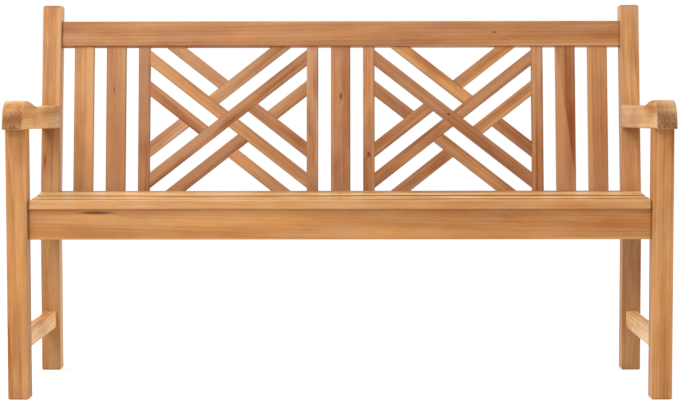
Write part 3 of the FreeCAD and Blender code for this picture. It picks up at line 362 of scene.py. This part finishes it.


# Boards: the look of each, by its name or the start of it, in mm from the middle of the board. Log picks
# the place that it is sawn from. Sap is the edge of the pale sapwood, its side of that edge and how the
# edge slants. A knot is its place along and across the board, and its half length and half width. The
# joint setting is where the board runs into a joint, towards which it darkens with oil and painted shade.
# Side shade is painted shade on the sides of seat slats, for the shadow in the gaps.

boards = {
    "front_leg_left": {"tone": "honey", "log": 5, "contrast": 0.8, "figure": 0.34, "turn": 160,
                       "tilt": 1.2},
    "front_leg_right": {"tone": "honey", "log": 6, "contrast": 0.8, "figure": 0.3, "turn": 80},
    "rear_post_left": {"tone": "amber", "log": 12, "contrast": 0.8, "sap": (-8, -1, 0),
                       "knot": (63, 14, 20, 2.5)},
    "rear_post_right": {"tone": "barley", "log": 1, "contrast": 0.7},
    "arm_left": {"tone": "oat", "log": 4, "contrast": 0.8},
    "arm_right": {"tone": "sand", "log": 9, "contrast": 0.8},
    "seat_slat_1": {"tone": "wheat", "contrast": 0.5, "seam": 701.5, "polish": 0.05},
    "seat_slat": {"tone": "oat", "log": 2, "contrast": 1.1, "sideShade": 0.9},
    "front_apron": {"tone": "honey", "log": 23, "contrast": 0.6, "tilt": 1.2,
                    "sap": (-28, -1, 0), "knot": (-549, 27, 42, 4), "seam": 703},
    "side_rail": {"tone": "amber"},
    "stretcher_left": {"tone": "cream", "log": 3},
    "stretcher_right": {"tone": "cream", "log": 4},
    "centre_bearer": {"tone": "amber"},
    "back_top_rail": {"tone": "fawn", "log": 11, "contrast": 0.6, "figure": 0.28,
                      "sap": (-30, -1, 0.018), "knot": (388, 5, 5, 3), "seam": 703},
    "back_lower_rail": {"tone": "amber"},
    "back_slat_outer_left": {"tone": "amber", "log": 13, "contrast": 1.1, "sap": (-8, -1, 0)},
    "back_slat_inner_left": {"tone": "russet", "log": 23, "contrast": 0.6, "knot": (74, 5, 11, 1.4)},
    "back_slat_centre": {"tone": "chestnut", "log": 21, "knot": (56, 0, 10, 4)},
    "back_slat_inner_right": {"tone": "chestnut", "log": 12, "sap": (-3, 1, 0.12)},
    "back_slat_outer_right": {"tone": "fawn", "contrast": 0.7, "sap": (13, 1, 0)},
    "lattice_stile_outer_left": {"tone": "bronze", "log": 6, "contrast": 1.2},
    "lattice_stile_inner_left": {"tone": "straw", "log": 6, "contrast": 1.2},
    "lattice_stile_inner_right": {"tone": "russet", "log": 7, "contrast": 1.4, "knot": (-91, 0, 7, 5)},
    "lattice_stile_outer_right": {"tone": "russet", "log": 22, "contrast": 1.1},
    "lattice_left_main": {"tone": "umber", "log": 23, "contrast": 1.5},
    "lattice_left_cross": {"tone": "fawn", "log": 7},
    "lattice_left_top_long": {"tone": "straw", "log": 14, "contrast": 1.1},
    "lattice_left_top_short": {"tone": "straw", "log": 22, "contrast": 0.7},
    "lattice_left_outer_long": {"tone": "chestnut", "contrast": 1.5},
    "lattice_left_outer_short": {"tone": "straw", "log": 6, "contrast": 1.2},
    "lattice_left_bottom_long": {"tone": "bronze", "log": 12, "contrast": 1.3},
    "lattice_left_bottom_short": {"tone": "russet", "log": 23, "contrast": 1.2},
    "lattice_left_inner_long": {"tone": "umber", "log": 14, "contrast": 1.3},
    "lattice_left_inner_short": {"tone": "chestnut", "log": 23, "contrast": 0.9},
    "lattice_right_main": {"tone": "umber", "log": 18, "knot": (-15, 2, 4, 4)},
    "lattice_right_cross": {"tone": "umber", "log": 20, "contrast": 1.4},
    "lattice_right_top_long": {"tone": "amber", "log": 21, "contrast": 1.5},
    "lattice_right_top_short": {"tone": "amber", "log": 14, "contrast": 1.5},
    "lattice_right_outer_long": {"tone": "fawn", "log": 6, "contrast": 1.1},
    "lattice_right_outer_short": {"tone": "bronze", "log": 21, "contrast": 1.4},
    "lattice_right_bottom_long": {"tone": "fawn", "log": 8, "contrast": 1.2},
    "lattice_right_bottom_short": {"tone": "umber", "contrast": 1.6},
    "lattice_right_inner_long": {"tone": "chestnut", "log": 13, "contrast": 1.5},
    "lattice_right_inner_short": {"tone": "bronze", "log": 13, "contrast": 1.6},
    "tenon_pegs": {"tone": "russet"},
    "slat_plugs": {"tone": "russet"},
}


def boardLook(name):
    start = max((key for key in boards if name.startswith(key)), key=len)
    return boards[start]


for name, node in nodes.items():
    if name != "slat_screws":
        node.material_slots[0].material = makeTeak(name, boardFrame(node), **boardLook(name))
print("teak: boards, pegs and plugs in", len(nodes) - 1, "pieces")

# Stainless steel, turned and left bright: grey, with a soft streaked gloss

steelFinish = {
    "colour": "B9B8B4",
    "roughness": (0.24, 0.40),  # in the turning lines and between them
    "lineWidth": 0.25 * mm,
}


def makeSteel(s):
    material = bpy.data.materials.new("stainless_steel_turned")
    material.use_nodes = True
    tree = material.node_tree
    shader = tree.nodes["Principled BSDF"]
    shader.inputs["Metallic"].default_value = 1.0
    shader.inputs["Base Color"].default_value = linear(s["colour"])
    spot = addNode(tree, "ShaderNodeTexCoord")
    lines = addNode(tree, "ShaderNodeTexNoise", {"Scale": 1 / s["lineWidth"], "Detail": 2.0},
                    {"Vector": spot.outputs["Object"]})
    fine, coarse = s["roughness"]
    gloss = addNode(tree, "ShaderNodeMapRange", {"To Min": fine, "To Max": coarse},
                    {0: lines.outputs["Fac"]})
    tree.links.new(gloss.outputs[0], shader.inputs["Roughness"])
    return material


# Screws under the plugs of the seat slats: a round head with a six-sided socket, a coarse wood thread
# and a point

woodScrew = {
    "headDiameter": 9 * mm,
    "headTop": 7 * mm,           # the head narrows to this
    "headHeight": 3.5 * mm,
    "shankDiameter": 4.5 * mm,   # over the thread
    "threadDepth": 0.7 * mm,
    "threadPitch": 2.2 * mm,
    "plainShank": 8 * mm,        # below the head, without thread
    "pointLength": 5 * mm,
    "socketDiameter": 4.6 * mm,  # over its corners
    "socketDepth": 2 * mm,
    "seed": 4,                   # how the sockets are turned
}


def makeScrewTree(steel):
    tree = bpy.data.node_groups.new("woodScrew", "GeometryNodeTree")
    for kind, names in (("Geometry", ("Places",)),
                        ("Float", ("Head radius", "Head top radius", "Head height", "Core radius",
                                   "Core length", "Point length", "Shank length", "Thread ridge",
                                   "Thread length", "Thread turns", "Socket radius", "Cutter height")),
                        ("Int", ("Seed",))):
        for name in names:
            tree.interface.new_socket(name, in_out="INPUT", socket_type="NodeSocket" + kind)
    tree.interface.new_socket("Screws", in_out="OUTPUT", socket_type="NodeSocketGeometry")
    given = addNode(tree, "NodeGroupInput").outputs

    # the head, with the socket cut out of its top
    head = addNode(tree, "GeometryNodeMeshCone", {"Vertices": 32},
                   {"Radius Top": given["Head top radius"], "Radius Bottom": given["Head radius"],
                    "Depth": given["Head height"]})
    headTop = addNode(tree, "ShaderNodeVectorMath", {"operation": "SCALE", 0: (0, 0, 1)},
                      {"Scale": given["Head height"]})
    cutter = addNode(tree, "GeometryNodeMeshCylinder", {"Vertices": 6},
                     {"Radius": given["Socket radius"], "Depth": given["Cutter height"]})
    cutterPlaced = addNode(tree, "GeometryNodeTransform",
                           links={"Geometry": cutter.outputs[0], "Translation": headTop.outputs[0]})
    headCut = addNode(tree, "GeometryNodeMeshBoolean", {"operation": "DIFFERENCE"},
                      {0: head.outputs[0], 1: cutterPlaced.outputs[0]})
    # the core of the shank and its point
    core = addNode(tree, "GeometryNodeMeshCylinder", {"Vertices": 24},
                   {"Radius": given["Core radius"], "Depth": given["Core length"]})
    coreMiddle = addNode(tree, "ShaderNodeVectorMath", {"operation": "SCALE", 0: (0, 0, -0.5)},
                         {"Scale": given["Core length"]})
    corePlaced = addNode(tree, "GeometryNodeTransform",
                         links={"Geometry": core.outputs[0], "Translation": coreMiddle.outputs[0]})
    point = addNode(tree, "GeometryNodeMeshCone", {"Vertices": 24, "Radius Bottom": 0.0},
                    {"Radius Top": given["Core radius"], "Depth": given["Point length"]})
    pointEnd = addNode(tree, "ShaderNodeVectorMath", {"operation": "SCALE", 0: (0, 0, -1)},
                       {"Scale": given["Shank length"]})
    pointPlaced = addNode(tree, "GeometryNodeTransform",
                          links={"Geometry": point.outputs[0], "Translation": pointEnd.outputs[0]})
    # the thread, a ridge that winds round the core
    winding = addNode(tree, "GeometryNodeCurveSpiral", {"Resolution": 20},
                      {"Rotations": given["Thread turns"], "Start Radius": given["Core radius"],
                       "End Radius": given["Core radius"], "Height": given["Thread length"]})
    ridge = addNode(tree, "GeometryNodeCurvePrimitiveCircle", {"Resolution": 4},
                    {"Radius": given["Thread ridge"]})
    thread = addNode(tree, "GeometryNodeCurveToMesh", {"Fill Caps": True},
                     {"Curve": winding.outputs[0], "Profile Curve": ridge.outputs[0]})
    threadStart = addNode(tree, "ShaderNodeVectorMath", {"operation": "SCALE", 0: (0, 0, -1)},
                          {"Scale": given["Core length"]})
    threadPlaced = addNode(tree, "GeometryNodeTransform",
                           links={"Geometry": thread.outputs[0], "Translation": threadStart.outputs[0]})
    screw = addNode(tree, "GeometryNodeJoinGeometry")
    for piece in (headCut, corePlaced, pointPlaced, threadPlaced):
        tree.links.new(piece.outputs[0], screw.inputs[0])
    # one at each place, along the line that it leans on there, its socket turned by chance
    lean = addNode(tree, "GeometryNodeInputNamedAttribute", {"data_type": "FLOAT_VECTOR", "Name": "lean"})
    upright = addNode(tree, "FunctionNodeAlignRotationToVector", {"axis": "Z"},
                      {"Vector": lean.outputs[0]})
    chance = addNode(tree, "FunctionNodeRandomValue",
                     {"data_type": "FLOAT_VECTOR", 0: (0, 0, 0), 1: (0, 0, 2 * math.pi)},
                     {"Seed": given["Seed"]})
    turned = addNode(tree, "FunctionNodeRotateRotation", {"rotation_space": "LOCAL"},
                     {0: upright.outputs[0], 1: chance.outputs[0]})
    placed = addNode(tree, "GeometryNodeInstanceOnPoints",
                     links={"Points": given["Places"], "Instance": screw.outputs[0],
                            "Rotation": turned.outputs[0]})
    real = addNode(tree, "GeometryNodeRealizeInstances", links={0: placed.outputs[0]})
    finished = addNode(tree, "GeometryNodeSetMaterial", {"Material": steel},
                       {"Geometry": real.outputs[0]})
    addNode(tree, "NodeGroupOutput", links={0: finished.outputs[0]})
    return tree


def findScrews(node, headHeight, reach=45 * mm):
    # where each head sits, the line that the screw leans on, and how long its shank is;
    # reach is more than a screw's length and less than the way to the next one
    points = np.unique(np.round([v.co for v in node.data.vertices], 6), axis=0)
    places = []
    while len(points):
        near = np.linalg.norm(points - points[0], axis=1) < reach
        lean = np.array(longAxis(points[near]))
        heights = points[near] @ lean
        seat = points[near].mean(0) + lean * (heights.max() - headHeight - heights.mean())
        places.append((seat, lean, np.ptp(heights) - headHeight))
        points = points[~near]
    return places


def makeScrews(node, s, steel):
    places = findScrews(node, s["headHeight"])
    shank = min(length for seat, lean, length in places)
    coreLength = shank - s["pointLength"]
    threadLength = coreLength - s["plainShank"]
    sizes = {
        "Head radius": s["headDiameter"] / 2,
        "Head top radius": s["headTop"] / 2,
        "Head height": s["headHeight"],
        "Core radius": s["shankDiameter"] / 2 - s["threadDepth"],
        "Core length": coreLength,
        "Point length": s["pointLength"],
        "Shank length": shank,
        "Thread ridge": s["threadDepth"],
        "Thread length": threadLength,
        "Thread turns": threadLength / s["threadPitch"],
        "Socket radius": s["socketDiameter"] / 2,
        "Cutter height": 2 * s["socketDepth"],
        "Seed": s["seed"],
    }
    spots = bpy.data.meshes.new("screw_places")
    spots.from_pydata([seat for seat, lean, length in places], [], [])
    leans = spots.attributes.new("lean", "FLOAT_VECTOR", "POINT")
    leans.data.foreach_set("vector", [part for seat, lean, length in places for part in lean])
    screws = bpy.data.objects.new("wood_screws", spots)
    bpy.context.scene.collection.objects.link(screws)
    maker = screws.modifiers.new("wood_screws", "NODES")
    maker.node_group = makeScrewTree(steel)
    for socket in maker.node_group.interface.items_tree:
        if socket.name in sizes:
            maker[socket.identifier] = sizes[socket.name]
    seen = bpy.context.evaluated_depsgraph_get()
    screws.data = bpy.data.meshes.new_from_object(screws.evaluated_get(seen))
    screws.modifiers.remove(maker)
    screws.data.materials.clear()  # the cut leaves an empty slot
    screws.data.materials.append(steel)
    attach(screws, "root")
    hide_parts("slat_screws")
    return screws, len(places)


steel = makeSteel(steelFinish)
nodes["slat_screws"].material_slots[0].material = steel
screws, screwCount = makeScrews(nodes["slat_screws"], woodScrew, steel)
print("screws:", screwCount, "with", len(screws.data.polygons), "faces")

# Studio: a white floor and background, soft light from above and in front

studio = {
    "floorReach": 60.0,
    "floorColour": "D2D1CF",   # the paper that the light bounces off
    "floorGlow": 0.74,         # white that the camera sees under the shadow
    "floorShare": 0.38,        # share of the lit paper, with the shadow, that it sees over that
    "skyStrength": 0.68,
    "lamps": {
        "key": {"spot": (-1.8, -4.8, 2.7), "size": 1.6, "power": 84},
        "top": {"spot": (-1.2, -1.6, 3.4), "size": 2.0, "power": 66},
        "left": {"spot": (-8.0, 1.6, 2.0), "size": 3.0, "power": 265},
        "right": {"spot": (8.0, 1.6, 2.0), "size": 3.0, "power": 330},
    },
}


def seesWhite(tree):
    # 1 for a ray that shows the background: the camera's, and what metal or glass sends on
    rays = addNode(tree, "ShaderNodeLightPath").outputs
    share = rays["Is Camera Ray"]
    for kind in ("Is Glossy Ray", "Is Transmission Ray"):
        either = addNode(tree, "ShaderNodeMath", {"operation": "MAXIMUM"}, {0: share, 1: rays[kind]})
        share = either.outputs[0]
    return share


def makeFloor(s):
    mesh = bpy.data.meshes.new("floor")
    reach = s["floorReach"]
    corners = [(-reach, -reach, 0), (reach, -reach, 0), (reach, reach, 0), (-reach, reach, 0)]
    mesh.from_pydata(corners, [], [(0, 1, 2, 3)])
    floor = bpy.data.objects.new("floor", mesh)
    bpy.context.scene.collection.objects.link(floor)
    material = bpy.data.materials.new("floor_white_paper")
    material.use_nodes = True
    tree = material.node_tree
    tree.nodes.clear()
    paper = addNode(tree, "ShaderNodeBsdfDiffuse", {"Color": linear(s["floorColour"])})
    shaded = addNode(tree, "ShaderNodeBsdfDiffuse", {"Color": [s["floorShare"]] * 3 + [1]})
    glow = addNode(tree, "ShaderNodeEmission", {"Strength": s["floorGlow"]})
    white = addNode(tree, "ShaderNodeAddShader", links={0: shaded.outputs[0], 1: glow.outputs[0]})
    mixed = addNode(tree, "ShaderNodeMixShader",
                    links={0: seesWhite(tree), 1: paper.outputs[0], 2: white.outputs[0]})
    addNode(tree, "ShaderNodeOutputMaterial", links={0: mixed.outputs[0]})
    mesh.materials.append(material)
    return floor


def makeSky(s):
    world = bpy.data.worlds.new("white_studio")
    bpy.context.scene.world = world
    world.use_nodes = True
    tree = world.node_tree
    tree.nodes.clear()
    strength = addNode(tree, "ShaderNodeMapRange", {"To Min": s["skyStrength"], "To Max": 1.0},
                       {0: seesWhite(tree)})
    sky = addNode(tree, "ShaderNodeBackground", {"Color": (1, 1, 1, 1)},
                  {"Strength": strength.outputs[0]})
    addNode(tree, "ShaderNodeOutputWorld", links={0: sky.outputs[0]})


def makeLamp(name, s, aim=Vector((0, 0, 0.45))):
    # aimed at the middle of the bench
    lamp = bpy.data.lights.new(name, "AREA")
    lamp.size = s["size"]
    lamp.energy = s["power"]
    holder = bpy.data.objects.new(name, lamp)
    holder.location = s["spot"]
    holder.rotation_euler = (aim - holder.location).to_track_quat("-Z", "Y").to_euler()
    bpy.context.scene.collection.objects.link(holder)


makeFloor(studio)
makeSky(studio)
for name, lamp in studio["lamps"].items():
    makeLamp("lamp_" + name, lamp)
print("studio: floor, sky and", len(studio["lamps"]), "lamps")

# Camera, found from the leg and rail edges in the photograph

cameraFit = {
    "lens": 94.53,         # mm
    "sensor": 36,
    "spot": (0.0255, -4.2623, 0.6802),
    "pitch": 3.30,         # degrees below level
    "roll": 0.071,
    "yaw": 0.345,
}


def makeCamera(s):
    lens = bpy.data.cameras.new("camera")
    lens.lens = s["lens"]
    lens.sensor_width = s["sensor"]
    holder = bpy.data.objects.new("camera", lens)
    holder.location = s["spot"]
    holder.rotation_euler = [math.radians(turn) for turn in (90 - s["pitch"], s["roll"], s["yaw"])]
    bpy.context.scene.collection.objects.link(holder)
    bpy.context.scene.camera = holder


makeCamera(cameraFit)
bpy.context.scene.view_settings.view_transform = "Standard"
print("camera set")
